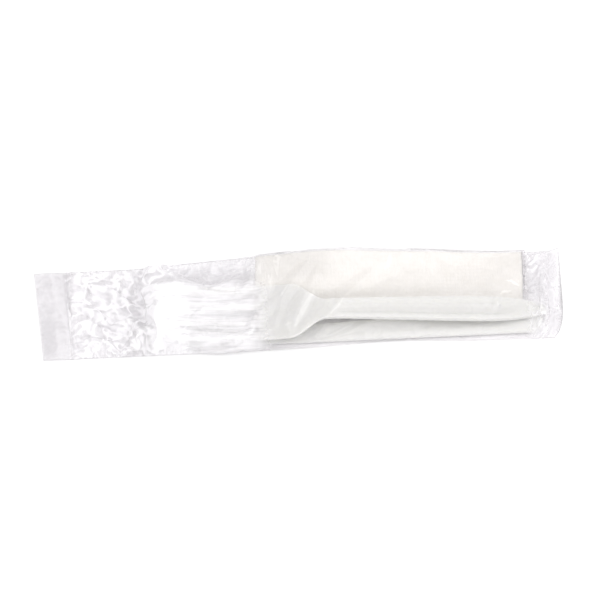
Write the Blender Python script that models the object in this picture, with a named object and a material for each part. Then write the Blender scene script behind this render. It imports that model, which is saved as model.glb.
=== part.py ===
"""Plastic cutlery pack: a fork, a knife and a folded paper napkin, heat sealed in a clear film sleeve.

The pack lies flat with its length along X. The tines point to -X, the knife lies along the -Y side and
the napkin along the +Y side. The origin is the middle of the pack's footprint, on the surface that the
pack lies on. Everything is in metres.
"""
import math

import bmesh
import bpy
import numpy as np
from mathutils import Matrix

# Film sleeve
HALF_LENGTH = 0.1066
HALF_WIDTH = 0.0204
WALL = 0.0003
GAP = 0.0003
LEFT_SEAL = 0.0125
RIGHT_SEAL = 0.0052
LEFT_CORNER_IN = 0.0027       # how far each end's near corner is drawn in
RIGHT_CORNER_IN = 0.0045
LEFT_CORNER_RUN = 0.024       # the ends begin to draw in this far from the seals
RIGHT_CORNER_RUN = 0.011
RIGHT_CORNER_POWER = 8
SLEEVE_EDGE = 0.0012          # height of the sleeve along its folded sides and where it meets a seal
SEAL_THICKNESS = 2 * WALL
SEAL_CURL = 0.0022            # how far the right seal's end stands up
SLACK = 0.0009                # film stands this much clear of what it covers
CREST_HALF = 0.003            # the film is at least this wide and flat over the ends of the fork
STATION_PITCH = 0.0061
NEAR_WAIST = 0.0016           # the near side is drawn in here by the raised handle
NEAR_WAIST_X = 0.036
NEAR_WAIST_SPREAD = 0.026
VENT_RADIUS = 0.001
VENT_PLACE = (-0.084, -0.012)

# The far side of the pack stands up to a ridge, because the film is taut over the fork's neck
LIFT = 0.0096
LIFT_X = 0.007
LIFT_LEFT_SPAN = 0.068
LIFT_RIGHT_SPAN = 0.071
LIFT_ROUNDING = 0.004
LIFT_START_Y = -0.008
LIFT_POWER = 1.8

# Fork, along its own axis from the tine tips (s = 0) to the handle's end
FORK_LENGTH = 0.159
FORK_TIP_X = -0.0596
FORK_AXIS_Y = -0.0058         # at the tine roots
FORK_YAW = math.radians(-1.9)
FORK_LOW_Z = 0.0036           # middle of the sheet at its lowest
FORK_LOW_S = 0.046
TIP_RISE = 0.0045
NECK_RISE = 0.0046
NECK_S = 0.074
HANDLE_DROP = 0.0035
TINE_LENGTH = 0.043
TINES = 4
TINE_SHARE = 0.60             # of the pitch, the rest is slot
TIP_POINT = 0.007
HEAD_HALF = 0.0125
TIP_HALF = 0.0112
NECK_HALF = 0.0043
HANDLE_HALF = 0.0053
SHOULDER = (0.056, 0.070)
HANDLE_END = 0.026
HANDLE_END_HALF = 0.0006
DROP_POWER = 1.3
HEAD_DISH = 0.0020
HEAD_SHEET = 0.0015
TIP_SHEET = 0.0009
HANDLE_SHEET = 0.0024
TIP_SHEET_RUN = 0.020
SHEET_CHANGE = (0.060, 0.090)
CHANNEL_DEPTH = 0.0006
CHANNEL = (0.076, 0.144)
CHANNEL_RUN = 0.008

# Knife, along X from its point (s = 0) to the handle's end
KNIFE_LENGTH = 0.1665
KNIFE_TIP_X = -0.0690
KNIFE_NEAR_Y = -0.0180
KNIFE_Z = WALL + GAP
BLADE_WIDTH = 0.0130
BLADE_POINT = 0.016
BLADE_SHEET = 0.0012
BLADE_TAPER = (0.036, 0.060)
KNIFE_NECK = (0.062, 0.078)
KNIFE_NECK_TO = 0.130         # the handle is at its full width from here
KNIFE_SHEET_CHANGE = (0.066, 0.090)
KNIFE_SIDE_SHARE = 0.6        # height of its sides, as a share of its middle's
KNIFE_HANDLE_WIDTH = 0.0100
KNIFE_NECK_WIDTH = 0.0086
KNIFE_HANDLE_SHEET = 0.0025
TOOTH_PITCH = 0.0016
TOOTH_DEPTH = 0.0003
TEETH = (0.020, 0.064)

# Napkin
NAPKIN_X = (-0.0185, 0.0900)
NAPKIN_NEAR_Y = -0.0074
NAPKIN_THICKNESS = 0.0014
NAPKIN_SLANT = 0.0020         # each short side leans this much to +X at its far corner

FILM = ("clear_film", (0.93, 0.93, 0.95), 0.12)
CUTLERY = ("white_plastic", (0.90, 0.90, 0.87), 0.28)
PAPER = ("napkin_paper", (0.93, 0.91, 0.85), 0.90)


def ease(value, start=0.0, end=1.0):
    """0 before start, 1 after end, and a smooth step between."""
    t = min(max((value - start) / (end - start), 0.0), 1.0)
    return t * t * (3.0 - 2.0 * t)


def mix(a, b, share):
    return a + (b - a) * share


# Shape of the pack

def lift(x):
    """How high the far edge stands at x: a ridge with straight slopes and a slightly rounded top."""
    away = math.hypot(x - LIFT_X, LIFT_ROUNDING) - LIFT_ROUNDING
    span = LIFT_LEFT_SPAN if x < LIFT_X else LIFT_RIGHT_SPAN
    return LIFT * max(1.0 - away / span, 0.0)


def floor_z(x, y):
    """The underside of the pack: flat on the near half, and rising to the far edge."""
    share = max((y - LIFT_START_Y) / (HALF_WIDTH - LIFT_START_Y), 0.0)
    return lift(x) * share ** LIFT_POWER


def near_edge(x):
    """Y of the pack's near edge."""
    bell = math.exp(-(((x - NEAR_WAIST_X) / NEAR_WAIST_SPREAD) ** 2))
    return -HALF_WIDTH + NEAR_WAIST * bell


def far_edge(x):
    """Y of the pack's far edge, which moves in as it stands up."""
    return math.sqrt(HALF_WIDTH ** 2 - lift(x) ** 2 * 0.5)


# Fork

def fork_mid(s):
    """Height of the middle of the fork's sheet."""
    if s < FORK_LOW_S:
        return FORK_LOW_Z + TIP_RISE * ((FORK_LOW_S - s) / FORK_LOW_S) ** 2
    neck = NECK_RISE * ease(s, FORK_LOW_S, NECK_S)
    along = max((s - NECK_S) / (FORK_LENGTH - NECK_S), 0.0)
    return FORK_LOW_Z + neck - HANDLE_DROP * along ** DROP_POWER


def fork_half(s):
    """Half of the fork's width."""
    head = mix(TIP_HALF, HEAD_HALF, ease(s, 0.0, TINE_LENGTH))
    handle = mix(NECK_HALF, HANDLE_HALF, ease(s, SHOULDER[1], FORK_LENGTH - HANDLE_END))
    half = mix(head, handle, ease(s, *SHOULDER))
    end = max((s - FORK_LENGTH + HANDLE_END) / HANDLE_END, 0.0)
    return max(half * math.sqrt(max(1.0 - end * end, 0.0)), HANDLE_END_HALF)


def fork_dish(s):
    """How far the sides of the head stand above its middle."""
    return HEAD_DISH * mix(0.5, 1.0, ease(s, 0.0, TINE_LENGTH)) * (1.0 - ease(s, *SHOULDER))


def fork_sheet(s):
    head = mix(TIP_SHEET, HEAD_SHEET, ease(s, 0.0, TIP_SHEET_RUN))
    return mix(head, HANDLE_SHEET, ease(s, *SHEET_CHANGE))


def fork_columns(s):
    """Y of each line across the fork: three to a tine, so the slots are the cells between the tines."""
    half = fork_half(s)
    pitch = 2.0 * half / TINES
    tip = max(1.0 - s / TIP_POINT, 0.0)
    tine = 0.5 * pitch * TINE_SHARE * max(math.sqrt(1.0 - tip * tip), 0.16)
    root = (s - TINE_LENGTH) / (0.5 * pitch * (1.0 - TINE_SHARE)) + 1.0
    if 0.0 < root <= 1.0:
        slot = 0.5 * pitch * (1.0 - TINE_SHARE) * max(math.sqrt(1.0 - root * root), 0.2)
        tine = 0.5 * pitch - slot
    outer = half - 0.5 * pitch * TINE_SHARE
    columns = []
    for k in range(TINES):
        centre = mix(-outer, outer, k / (TINES - 1))
        columns += [centre - tine, centre, centre + tine]
    return [min(max(y, -half), half) for y in columns]


def fork_rows():
    """Stations along the fork, closer together where the outline turns."""
    tips = [TIP_POINT * t for t in (0.0, 0.12, 0.4)]
    tines = list(np.linspace(TIP_POINT, TINE_LENGTH - 0.002, 7))
    roots = [TINE_LENGTH - 0.0012, TINE_LENGTH - 0.0005, TINE_LENGTH]
    head = list(np.linspace(TINE_LENGTH + 0.0025, 0.072, 11))
    handle = list(np.linspace(0.078, FORK_LENGTH - HANDLE_END, 8))
    end = [FORK_LENGTH - HANDLE_END * (1.0 - math.sin(t)) for t in np.linspace(0.25, 0.5 * math.pi, 8)]
    return tips + tines + roots + head + handle + end


def sheet_solid(name, rows, columns, top, under, solid_cell):
    """A closed sheet between two heights over a grid, with walls around its outline and its holes."""
    bm = bmesh.new()
    corners = {}

    def corner(i, j, side):
        key = (i, j, side)
        if key not in corners:
            s, y = rows[i], columns(rows[i])[j]
            corners[key] = bm.verts.new((s, y, (top if side else under)(s, y)))
        return corners[key]

    across = len(columns(rows[0])) - 1
    cells = {(i, j) for i in range(len(rows) - 1) for j in range(across) if solid_cell(i, j)}
    for i, j in sorted(cells):
        ring = [(i, j), (i + 1, j), (i + 1, j + 1), (i, j + 1)]
        bm.faces.new([corner(a, b, True) for a, b in ring])
        bm.faces.new([corner(a, b, False) for a, b in reversed(ring)])
        beside = [(i, j - 1), (i + 1, j), (i, j + 1), (i - 1, j)]
        for k, other in enumerate(beside):
            if other not in cells:
                a, b = ring[k], ring[(k + 1) % 4]
                bm.faces.new([corner(*b, True), corner(*a, True), corner(*a, False), corner(*b, False)])
    bmesh.ops.recalc_face_normals(bm, faces=bm.faces)
    return finish_mesh(name, bm)


def finish_mesh(name, bm):
    mesh = bpy.data.meshes.new(name)
    bm.to_mesh(mesh)
    bm.free()
    piece = bpy.data.objects.new(name, mesh)
    bpy.context.collection.objects.link(piece)
    mesh.shade_smooth()
    mesh.set_sharp_from_angle(angle=math.radians(40.0))
    return piece


def fork_top(s, y):
    """Upper face of the fork: the dished head, and a shallow channel along the handle."""
    half = fork_half(s)
    across = min(abs(y) / half, 1.0)
    runs_in = ease(s, CHANNEL[0], CHANNEL[0] + CHANNEL_RUN)
    runs_out = ease(s, CHANNEL[1] - CHANNEL_RUN, CHANNEL[1])
    channel = CHANNEL_DEPTH * runs_in * (1.0 - runs_out) * (1.0 - ease(across, 0.5, 0.8))
    return fork_mid(s) + 0.5 * fork_sheet(s) + fork_dish(s) * across ** 2 - channel


def fork_under(s, y):
    across = min(abs(y) / fork_half(s), 1.0)
    return fork_mid(s) - 0.5 * fork_sheet(s) + fork_dish(s) * across ** 2


def make_fork():
    rows = fork_rows()
    slots = {3 * k - 1 for k in range(1, TINES)}

    def solid_cell(i, j):
        return not (j in slots and rows[i + 1] <= TINE_LENGTH)

    fork = sheet_solid("fork", rows, fork_columns, fork_top, fork_under, solid_cell)
    fork.location = (FORK_TIP_X, FORK_AXIS_Y - FORK_LOW_S * math.tan(FORK_YAW), 0.0)
    fork.rotation_euler = (0.0, 0.0, FORK_YAW)
    return fork


# Knife

def knife_width(s):
    point = max(1.0 - s / BLADE_POINT, 0.0)
    blade = BLADE_WIDTH * max(math.sqrt(1.0 - point * point), 0.08)
    blade = mix(blade, KNIFE_NECK_WIDTH, ease(s, *BLADE_TAPER))
    handle = mix(KNIFE_NECK_WIDTH, KNIFE_HANDLE_WIDTH, ease(s, KNIFE_NECK[1], KNIFE_NECK_TO))
    end = max((s - KNIFE_LENGTH + 0.5 * KNIFE_HANDLE_WIDTH) / (0.5 * KNIFE_HANDLE_WIDTH), 0.0)
    round_end = max(math.sqrt(max(1.0 - end * end, 0.0)), 0.12)
    return mix(blade, handle, ease(s, *KNIFE_NECK)) * round_end


KNIFE_LINES = (0.0, 0.18, 0.5, 0.82, 1.0)


def knife_columns(s):
    """Y of each line across the knife: straight along the teeth, and round the end of the handle."""
    near, far = KNIFE_NEAR_Y, KNIFE_NEAR_Y + knife_width(s)
    if s > KNIFE_LENGTH - 0.5 * KNIFE_HANDLE_WIDTH:
        inwards = 0.5 * (KNIFE_HANDLE_WIDTH - knife_width(s))
        near, far = near + inwards, far + inwards
    elif TEETH[0] < s < TEETH[1]:
        near += TOOTH_DEPTH * (round((s - TEETH[0]) / (0.5 * TOOTH_PITCH)) % 2)
    return [mix(near, far, t) for t in KNIFE_LINES]


def knife_rows():
    point = [BLADE_POINT * (1.0 - math.cos(t)) for t in np.linspace(0.0, 0.5 * math.pi, 7)]
    teeth = list(np.linspace(*TEETH, round((TEETH[1] - TEETH[0]) / (0.5 * TOOTH_PITCH)) + 1))
    handle = list(np.linspace(KNIFE_SHEET_CHANGE[0], KNIFE_LENGTH - 0.5 * KNIFE_HANDLE_WIDTH, 14))
    end = [KNIFE_LENGTH - 0.5 * KNIFE_HANDLE_WIDTH * (1.0 - math.sin(t))
           for t in np.linspace(0.3, 0.5 * math.pi, 5)]
    return point + teeth + handle + end


def knife_top(s, y):
    """Upper face of the knife: a thin blade, and a thicker handle with rounded sides."""
    columns = knife_columns(s)
    across = (y - columns[0]) / (columns[-1] - columns[0])
    crown = 1.0 - (2.0 * across - 1.0) ** 4
    sheet = mix(BLADE_SHEET, KNIFE_HANDLE_SHEET, ease(s, *KNIFE_SHEET_CHANGE))
    return KNIFE_Z + sheet * mix(KNIFE_SIDE_SHARE, 1.0, crown)


def make_knife():
    knife = sheet_solid("knife", knife_rows(), knife_columns, knife_top,
                        lambda s, y: KNIFE_Z, lambda i, j: True)
    knife.location = (KNIFE_TIP_X, 0.0, 0.0)
    return knife


# Napkin

def napkin_columns(x):
    return list(np.linspace(NAPKIN_NEAR_Y, far_edge(x) - WALL - 2 * GAP, 9))


def make_napkin():
    """The folded strip lies on the film and follows its rise, with a rounded fold along each long side."""

    def under(x, y):
        return floor_z(x, y) + WALL + GAP

    def top(x, y):
        columns = napkin_columns(x)
        side = min(y - columns[0], columns[-1] - y) / NAPKIN_THICKNESS
        return under(x, y) + NAPKIN_THICKNESS * mix(0.55, 1.0, ease(side, 0.0, 1.0))

    rows = list(np.linspace(*NAPKIN_X, 22))
    napkin = sheet_solid("napkin", rows, napkin_columns, top, under, lambda i, j: True)
    for vertex in napkin.data.vertices:
        vertex.co.x += NAPKIN_SLANT * (vertex.co.y - NAPKIN_NEAR_Y) / (HALF_WIDTH - NAPKIN_NEAR_Y)
    return napkin


# Film sleeve

def drawn_in(x, y):
    """How far the sleeve moves along X at a place, so that the near corner of each end is drawn in."""
    nearness = 0.5 - 0.5 * y / HALF_WIDTH
    left, right = HALF_LENGTH - LEFT_SEAL, HALF_LENGTH - RIGHT_SEAL
    at_left = LEFT_CORNER_IN * nearness * ease(-x, left - LEFT_CORNER_RUN, left)
    at_right = RIGHT_CORNER_IN * nearness ** RIGHT_CORNER_POWER * ease(x, right - RIGHT_CORNER_RUN, right)
    return at_left - at_right


def upper_hull(points):
    """The taut line over points: their upper convex hull, from the lowest y to the highest."""
    hull = []
    for p in sorted(points):
        while len(hull) > 1:
            a, b = hull[-2:]
            if (b[0] - a[0]) * (p[1] - a[1]) - (b[1] - a[1]) * (p[0] - a[0]) < 0.0:
                break
            hull.pop()
        hull.append(p)
    return hull


def covered(x):
    """Corners of what the film is drawn over at x, as (y, z) with the film's clearance added."""
    near, far = near_edge(x), far_edge(x)
    clear = WALL + SLACK
    s = (x - FORK_TIP_X) / math.cos(FORK_YAW)
    at = min(max(s, 0.0), FORK_LENGTH)
    centre = FORK_AXIS_Y + (at - FORK_LOW_S) * math.sin(FORK_YAW)
    beyond = max(-s / (FORK_TIP_X + HALF_LENGTH - LEFT_SEAL), (s - FORK_LENGTH) / RIGHT_SEAL, 0.0)
    fade = 1.0 - min(beyond, 1.0)
    half = max(fork_half(at), CREST_HALF)
    height = mix(SLEEVE_EDGE, fork_top(at, fork_half(at)) + clear, fade)
    corners = [(near, SLEEVE_EDGE), (far, floor_z(x, far) + SLEEVE_EDGE)]
    corners += [(centre - half - clear, height), (centre + half + clear, height)]
    if x > KNIFE_TIP_X - STATION_PITCH:
        ahead = x - KNIFE_TIP_X + STATION_PITCH
        sheet = mix(BLADE_SHEET, KNIFE_HANDLE_SHEET, ease(ahead, *KNIFE_SHEET_CHANGE))
        corners.append((KNIFE_NEAR_Y - 0.6 * clear, mix(SLEEVE_EDGE, KNIFE_Z + sheet + clear, fade)))
    if NAPKIN_X[0] - STATION_PITCH < x < NAPKIN_X[1] + STATION_PITCH:
        corners.append((far, floor_z(x, far) + NAPKIN_THICKNESS + WALL + GAP + clear))
    return [(min(max(y, near), far), z) for y, z in corners]


def section(x, across=12, over=20):
    """The sleeve's outline at x, as (y, z) going round from the near edge under and back over."""
    near, far = near_edge(x), far_edge(x)
    hull = upper_hull(covered(x))
    hull = [(near, max(z for y, z in hull if y <= near))] + [p for p in hull if near < p[0] < far] \
        + [(far, max(z for y, z in hull if y >= far))]
    under = [mix(near, far, k / across) for k in range(across + 1)]
    turns = [math.pi * k / over for k in range(over + 1)]
    above = [mix(far, near, 0.25 * (1.0 - math.cos(turn)) + 0.5 * turn / math.pi) for turn in turns]
    ys, zs = zip(*hull)
    return [(y, floor_z(x, y)) for y in under] + [(y, float(np.interp(y, ys, zs))) for y in above]


def inset(outline, distance):
    """The outline moved inwards by a distance, each corner along the bisector of its two sides."""
    moved = []
    for k, point in enumerate(outline):
        before = np.subtract(point, outline[k - 1])
        after = np.subtract(outline[(k + 1) % len(outline)], point)
        normals = [np.array((-d[1], d[0])) / max(np.hypot(*d), 1e-9) for d in (before, after)]
        bisector = normals[0] + normals[1]
        reach = distance / max(0.5 * float(bisector @ bisector), 0.35)
        moved.append(tuple(np.array(point) + bisector * reach))
    return moved


def tube(bm, stations, outlines, turn):
    """A closed skin through one outline at each station. It faces out where turn is 1, and in at -1."""
    rings = [[bm.verts.new((x + drawn_in(x, y), y, z)) for y, z in outline]
             for x, outline in zip(stations, outlines)]
    for ring, following in zip(rings, rings[1:]):
        for k in range(len(ring)):
            j = (k + 1) % len(ring)
            bm.faces.new((ring[k], ring[j], following[j], following[k])[::turn])
    bm.faces.new(rings[0][::-turn])
    bm.faces.new(rings[-1][::turn])


def make_film():
    left, right = -HALF_LENGTH + LEFT_SEAL, HALF_LENGTH - RIGHT_SEAL
    stations = list(np.linspace(left, right, round((right - left) / STATION_PITCH) + 1))
    fork_end = FORK_TIP_X + FORK_LENGTH + SLACK
    stations = stations[:-1] + [fork_end, right]
    outlines = [section(x) for x in stations]
    flat = [[(y, min(z, SEAL_THICKNESS)) for y, z in section(x)] for x in (left, right)]
    bm = bmesh.new()
    curl = [(y, z + SEAL_CURL) for y, z in flat[1]]
    tube(bm, [-HALF_LENGTH] + stations + [HALF_LENGTH], [flat[0]] + outlines + [curl], 1)
    tube(bm, stations, [inset(outline, WALL) for outline in outlines], -1)
    return finish_mesh("film_wrapper", bm)


def cut_vent(film):
    """A pin vent through the underside, which lets the air out when the pack is pressed flat."""
    bm = bmesh.new()
    place = Matrix.Translation((*VENT_PLACE, 0.0))
    bmesh.ops.create_cone(bm, cap_ends=True, segments=16, radius1=VENT_RADIUS, radius2=VENT_RADIUS,
                          depth=4 * WALL, matrix=place)
    cutter = finish_mesh("vent_cutter", bm)
    cutter.hide_render = True
    cutter.display_type = "WIRE"
    cut = film.modifiers.new("vent", "BOOLEAN")
    cut.operation = "DIFFERENCE"
    cut.solver = "EXACT"
    cut.object = cutter


def give_material(piece, name, colour, roughness):
    material = bpy.data.materials.new(name)
    material.use_nodes = True
    shader = material.node_tree.nodes["Principled BSDF"]
    shader.inputs["Base Color"].default_value = (*colour, 1.0)
    shader.inputs["Roughness"].default_value = roughness
    shader.inputs["Metallic"].default_value = 0.0
    piece.data.materials.append(material)
    return shader


def main():
    for old in list(bpy.data.objects):
        bpy.data.objects.remove(old, do_unlink=True)
    give_material(make_fork(), *CUTLERY)
    give_material(make_knife(), *CUTLERY)
    give_material(make_napkin(), *PAPER)
    film = make_film()
    cut_vent(film)
    give_material(film, *FILM).inputs["Alpha"].default_value = 0.3


main()
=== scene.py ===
"""Looks of the plastic cutlery pack: crumpled clear film over a plastic fork and knife and a folded napkin.

Everything is in metres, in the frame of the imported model. The pack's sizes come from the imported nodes' boxes
and from the same driving dimensions as the construction.
"""
import math

import bmesh
import bpy
import numpy as np
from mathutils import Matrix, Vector
from mathutils.bvhtree import BVHTree


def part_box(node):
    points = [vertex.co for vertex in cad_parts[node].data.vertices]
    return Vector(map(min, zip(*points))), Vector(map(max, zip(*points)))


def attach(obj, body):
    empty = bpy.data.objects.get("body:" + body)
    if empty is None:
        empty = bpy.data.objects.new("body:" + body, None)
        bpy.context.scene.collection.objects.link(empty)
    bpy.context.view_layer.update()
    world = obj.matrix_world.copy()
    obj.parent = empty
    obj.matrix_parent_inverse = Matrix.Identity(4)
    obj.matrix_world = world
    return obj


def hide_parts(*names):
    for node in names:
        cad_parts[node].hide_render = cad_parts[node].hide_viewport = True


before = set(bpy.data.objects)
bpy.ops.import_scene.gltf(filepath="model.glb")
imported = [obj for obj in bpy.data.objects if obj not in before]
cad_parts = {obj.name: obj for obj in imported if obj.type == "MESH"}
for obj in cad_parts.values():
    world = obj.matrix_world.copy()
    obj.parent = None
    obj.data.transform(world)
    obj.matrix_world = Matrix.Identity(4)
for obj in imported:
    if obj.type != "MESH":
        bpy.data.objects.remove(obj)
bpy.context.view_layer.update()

FILM_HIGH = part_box("film_wrapper")[1]
KNIFE_LOW, KNIFE_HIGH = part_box("knife")
NAPKIN_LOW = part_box("napkin")[0]

# Pack
HALF_LENGTH = FILM_HIGH[0]
HALF_WIDTH = FILM_HIGH[1]
LEFT_SEAL = 0.0125
RIGHT_SEAL = 0.0055
LEFT_CORNER_IN = 0.0027
RIGHT_CORNER_IN = 0.0045
NEAR_WAIST = 0.0016
NEAR_WAIST_X = 0.036
NEAR_WAIST_SPREAD = 0.026
LIFT = 0.0096
LIFT_X = 0.007
LIFT_LEFT_SPAN = 0.068
LIFT_RIGHT_SPAN = 0.071
LIFT_ROUNDING = 0.004
LIFT_START_Y = -0.008
LIFT_POWER = 1.8

# Fork, along its own axis from the tine tips (s = 0) to the handle's end
FORK_LENGTH = 0.159
FORK_TIP_X = -0.0596
FORK_AXIS_Y = -0.0058
FORK_YAW = math.radians(-1.9)
FORK_LOW_Z = 0.0036
FORK_LOW_S = 0.046
TIP_RISE = 0.0045
NECK_RISE = 0.0046
NECK_S = 0.074
HANDLE_DROP = 0.0035
TINE_LENGTH = 0.043
TINES = 4
TINE_SHARE = 0.60
TIP_POINT = 0.007
HEAD_HALF = 0.0125
TIP_HALF = 0.0112
NECK_HALF = 0.0043
HANDLE_HALF = 0.0053
SHOULDER = (0.056, 0.070)
HANDLE_END = 0.026
HANDLE_END_HALF = 0.0008
DROP_POWER = 1.3
HEAD_DISH = 0.0020
HEAD_SHEET = 0.0015
TIP_SHEET = 0.0010
HANDLE_SHEET = 0.0024
TIP_SHEET_RUN = 0.020
SHEET_CHANGE = (0.060, 0.090)
CHANNEL_DEPTH = 0.0009
CHANNEL = (0.072, 0.146)
CHANNEL_RUN = 0.010
CHANNEL_SIDES = (0.42, 0.62)
TINE_LINES = (-1.0, -0.78, 0.0, 0.78, 1.0)
LEAST_TIP = 0.2
LEAST_ROOT = 0.15
TINE_ROWS_BACK = 0.0022
ROOT_ROWS_BACK = (0.0014, 0.0008, 0.0003, 0.0)
HEAD_ROWS = (TINE_LENGTH + 0.001, 0.074)
HANDLE_ROWS_START = 0.077

# Knife, along X from its point to the handle's end
KNIFE_LENGTH = KNIFE_HIGH[0] - KNIFE_LOW[0]
KNIFE_NEAR_Y = KNIFE_LOW[1]
KNIFE_Z = KNIFE_LOW[2]
BLADE_LENGTH = 0.078
BLADE_WIDTH = KNIFE_HIGH[1] - KNIFE_LOW[1]
BLADE_POINT = 0.016
BLADE_SHEET = 0.0012
KNIFE_HANDLE_WIDTH = 0.0100
KNIFE_NECK_WIDTH = 0.0086
KNIFE_HANDLE_SHEET = 0.0025
TOOTH_PITCH = 0.0016
TOOTH_DEPTH = 0.0003
TEETH = (0.020, 0.064)
BLADE_TAPER = (0.036, 0.060)
KNIFE_NECK = (0.062, BLADE_LENGTH)
KNIFE_NECK_TO = 0.130
KNIFE_SHEET_CHANGE = (0.066, 0.090)
KNIFE_SIDE_SHARE = 0.6
KNIFE_CHANNEL_DEPTH = 0.0005
KNIFE_CHANNEL_START = (0.092, 0.100)
KNIFE_CHANNEL_STOP = (0.150, 0.158)
KNIFE_CHANNEL_SIDES = (0.4, 0.65)
KNIFE_LINES = (0.0, 0.06, 0.2, 0.35, 0.5, 0.65, 0.8, 0.94, 1.0)

# Napkin
NAPKIN_X = (-0.0185, 0.0900)
NAPKIN_NEAR_Y = NAPKIN_LOW[1]
NAPKIN_SLANT = 0.0020
LEAVES = 8
LEAF = 0.00011
NAPKIN_THICKNESS = 0.0014
NAPKIN_CREASE_X = 0.016
NAPKIN_CREASE = 0.0021
NAPKIN_CREASE_SPANS = (0.034, 0.050)
NAPKIN_NEAR_ROOM = 0.00035
NAPKIN_FAR_ROOM = 0.0012
NAPKIN_UNDER_ROOM = 0.0006
FOLD_OUT = 0.012
SIDE_WAVE = 0.0003
END_UNEVEN = (-0.0009, 0.0002)
SWELL = 0.00055
SWELL_POWER = 1.5
FREE_Y = (-0.001, 0.006)
LOFT = 0.25

# Camera and light
CAMERA_ELEVATION = math.radians(59.0)
CAMERA_YAW = math.radians(3.0)
CAMERA_LENS = 300.0
SENSOR = 36.0
FRAME_WIDTH = 0.2429
FRAME_CENTRE = (0.0004, 0.0029)
STUDIO_LEVEL = 0.455
WORLD_LEVEL = 0.70


def ease(value, start=0.0, end=1.0):
    """0 before start, 1 after end, and a smooth step between. Takes numbers or arrays."""
    t = np.clip((np.asarray(value, float) - start) / (end - start), 0.0, 1.0)
    return t * t * (3.0 - 2.0 * t)


def mix(a, b, share):
    return a + (b - a) * share


def noise(shape, cells, seed):
    """Smooth noise from -1 to 1 on a grid, with about this many bumps along each side."""
    rng = np.random.default_rng(seed)
    rows, columns = int(cells[0]) + 3, int(cells[1]) + 3
    knots = rng.uniform(-1.0, 1.0, (rows, columns))
    u = np.linspace(0.0, rows - 3.001, shape[0])
    v = np.linspace(0.0, columns - 3.001, shape[1])
    return spline_rows(spline_rows(knots, u).T, v).T


def spline_rows(knots, at):
    """Cubic B-spline through the rows of knots, read at these places."""
    k = np.floor(at).astype(int)
    t = (at - k)[:, None]
    weights = ((1 - t) ** 3 / 6, (3 * t ** 3 - 6 * t ** 2 + 4) / 6,
               (-3 * t ** 3 + 3 * t ** 2 + 3 * t + 1) / 6, t ** 3 / 6)
    return sum(w * knots[k + n] for n, w in enumerate(weights))


# Shape of the pack

def lift(x):
    """How high the far edge stands at x: a ridge where the film is taut over the fork's neck."""
    away = np.hypot(x - LIFT_X, LIFT_ROUNDING) - LIFT_ROUNDING
    span = np.where(np.asarray(x) < LIFT_X, LIFT_LEFT_SPAN, LIFT_RIGHT_SPAN)
    return LIFT * np.maximum(1.0 - away / span, 0.0)


def floor_z(x, y):
    """The underside of the pack: flat on the near half, and rising to the far edge."""
    share = np.maximum((np.asarray(y) - LIFT_START_Y) / (HALF_WIDTH - LIFT_START_Y), 0.0)
    return lift(x) * share ** LIFT_POWER


def near_edge(x):
    return -HALF_WIDTH + NEAR_WAIST * np.exp(-(((x - NEAR_WAIST_X) / NEAR_WAIST_SPREAD) ** 2))


def far_edge(x):
    return np.sqrt(HALF_WIDTH ** 2 - lift(x) ** 2 * 0.5)


# Meshes

def make_object(name, verts, faces, smooth=True):
    mesh = bpy.data.meshes.new(name)
    mesh.from_pydata([tuple(v) for v in verts], [], faces)
    mesh.validate()
    mesh.update()
    piece = bpy.data.objects.new(name, mesh)
    bpy.context.collection.objects.link(piece)
    if smooth:
        mesh.shade_smooth()
    return piece


def sheet_solid(name, rows, columns, top, under, solid_cell, levels):
    """A closed moulded sheet over a grid of cells, rounded by subdivision."""
    verts, faces, corners = [], [], {}

    def corner(i, j, side):
        key = (i, j, side)
        if key not in corners:
            s, y = rows[i], columns(rows[i])[j]
            corners[key] = len(verts)
            verts.append((s, y, float((top if side else under)(s, y))))
        return corners[key]

    across = len(columns(rows[0])) - 1
    cells = {(i, j) for i in range(len(rows) - 1) for j in range(across) if solid_cell(i, j)}
    for i, j in sorted(cells):
        ring = [(i, j), (i + 1, j), (i + 1, j + 1), (i, j + 1)]
        faces.append([corner(a, b, True) for a, b in ring])
        faces.append([corner(a, b, False) for a, b in reversed(ring)])
        for k, other in enumerate([(i, j - 1), (i + 1, j), (i, j + 1), (i - 1, j)]):
            if other not in cells:
                a, b = ring[k], ring[(k + 1) % 4]
                faces.append([corner(*b, True), corner(*a, True), corner(*a, False), corner(*b, False)])
    piece = make_object(name, verts, faces)
    round_off = piece.modifiers.new("rounding", "SUBSURF")
    round_off.levels = round_off.render_levels = levels
    return piece


def apply_modifiers(piece):
    """The piece's evaluated mesh in world space becomes its own mesh, and the piece sits at the origin."""
    bpy.context.view_layer.update()
    shaped = bpy.data.meshes.new_from_object(piece.evaluated_get(bpy.context.evaluated_depsgraph_get()))
    shaped.transform(piece.matrix_world)
    piece.modifiers.clear()
    piece.data = shaped
    piece.location = (0.0, 0.0, 0.0)
    piece.rotation_euler = (0.0, 0.0, 0.0)
    shaped.shade_smooth()
    bpy.context.view_layer.update()


# Fork

def fork_mid(s):
    if s < FORK_LOW_S:
        return FORK_LOW_Z + TIP_RISE * ((FORK_LOW_S - s) / FORK_LOW_S) ** 2
    along = max((s - NECK_S) / (FORK_LENGTH - NECK_S), 0.0)
    return FORK_LOW_Z + NECK_RISE * ease(s, FORK_LOW_S, NECK_S) - HANDLE_DROP * along ** DROP_POWER


def fork_half(s):
    head = mix(TIP_HALF, HEAD_HALF, ease(s, 0.0, TINE_LENGTH))
    handle = mix(NECK_HALF, HANDLE_HALF, ease(s, SHOULDER[1], FORK_LENGTH - HANDLE_END))
    half = mix(head, handle, ease(s, *SHOULDER))
    end = max((s - FORK_LENGTH + HANDLE_END) / HANDLE_END, 0.0)
    return max(half * math.sqrt(max(1.0 - end * end, 0.0)), HANDLE_END_HALF)


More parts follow.
